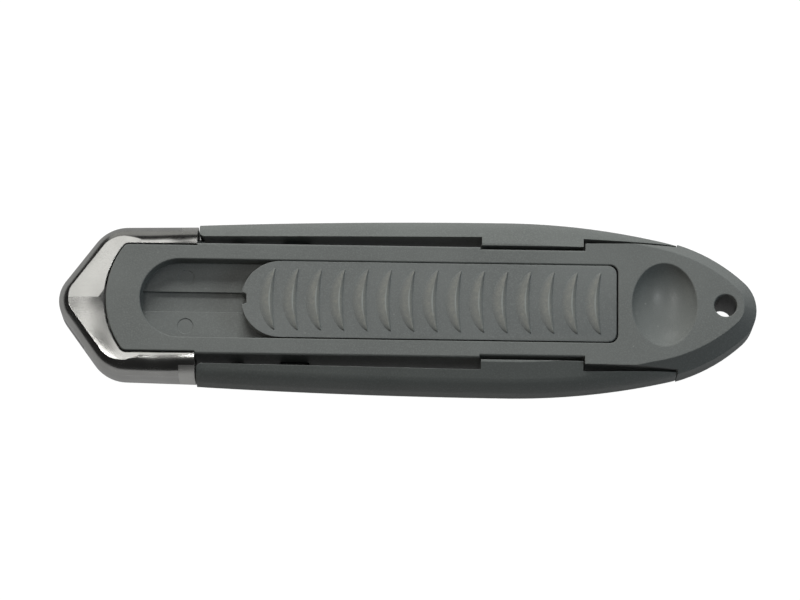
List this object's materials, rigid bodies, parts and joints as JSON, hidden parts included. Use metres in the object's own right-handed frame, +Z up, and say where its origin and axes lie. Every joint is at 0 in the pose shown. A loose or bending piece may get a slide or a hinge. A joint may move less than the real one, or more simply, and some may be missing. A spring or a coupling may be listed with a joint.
{
  "type": "utility knife",
  "caption": "Squeeze-grip safety utility knife: metal nose cap, ridged thumb slider on a spring-returned trapezoid blade, hinged grip levers on both sides, lanyard hole.",
  "frame": {"origin": "middle of the outline on the plane the knife's back rests on", "axes": "+X from the cutting end to the tail, +Z up through the thumb slider, +Y to the left lever"},
  "size_m": [0.155, 0.039, 0.0165],
  "materials": {
    "cap_metal": "polished die casting",
    "body_plastic": "satin moulded, dark grey",
    "slider_plastic": "satin moulded, grey",
    "lever_plastic": "satin moulded, grey",
    "carrier_plastic": "natural acetal",
    "blade_steel": "ground carbon steel",
    "steel": "bright steel",
    "spring_steel": "drawn wire",
    "screw_steel": "zinc plated"
  },
  "bodies": {
    "root": {"nose_cap": "cap_metal", "top_shell": "body_plastic", "bottom_shell": "body_plastic", "spring_post": "steel", "blade_guide": "steel", "nose_pins": "steel", "housing_screws": "screw_steel", "left_pivot_pin": "steel", "right_pivot_pin": "steel", "return_spring": "spring_steel", "left_lever_spring": "spring_steel", "right_lever_spring": "spring_steel"},
    "slide": {"slider": "slider_plastic", "blade_carrier": "carrier_plastic", "blade": "blade_steel", "blade_clamp": "steel", "clamp_screw": "screw_steel", "slider_screw": "screw_steel", "carrier_spring_pin": "steel"},
    "left_grip": {"left_lever": "lever_plastic", "left_catch": "steel"},
    "right_grip": {"right_lever": "lever_plastic", "right_catch": "steel"}
  },
  "joints": [
    {"name": "blade_slide", "type": "slide", "parent": "root", "child": "slide", "axis": [-1, 0, 0], "range_m": [0, 0.022], "stiffness_N_per_m": 136, "springref_m": -0.02, "deforming": ["return_spring"]},
    {"name": "left_squeeze", "type": "hinge", "parent": "root", "child": "left_grip", "pos_m": [0.056, 0.01171, 0.008], "axis": [0, 0, 1], "range_deg": [0, 0.75], "stiffness_Nm_per_rad": 2, "springref_deg": -5.73, "deforming": ["left_lever_spring"]},
    {"name": "right_squeeze", "type": "hinge", "parent": "root", "child": "right_grip", "pos_m": [0.056, -0.01171, 0.008], "axis": [0, 0, -1], "range_deg": [0, 0.75], "stiffness_Nm_per_rad": 2, "springref_deg": -5.73, "deforming": ["right_lever_spring"]}
  ]
}
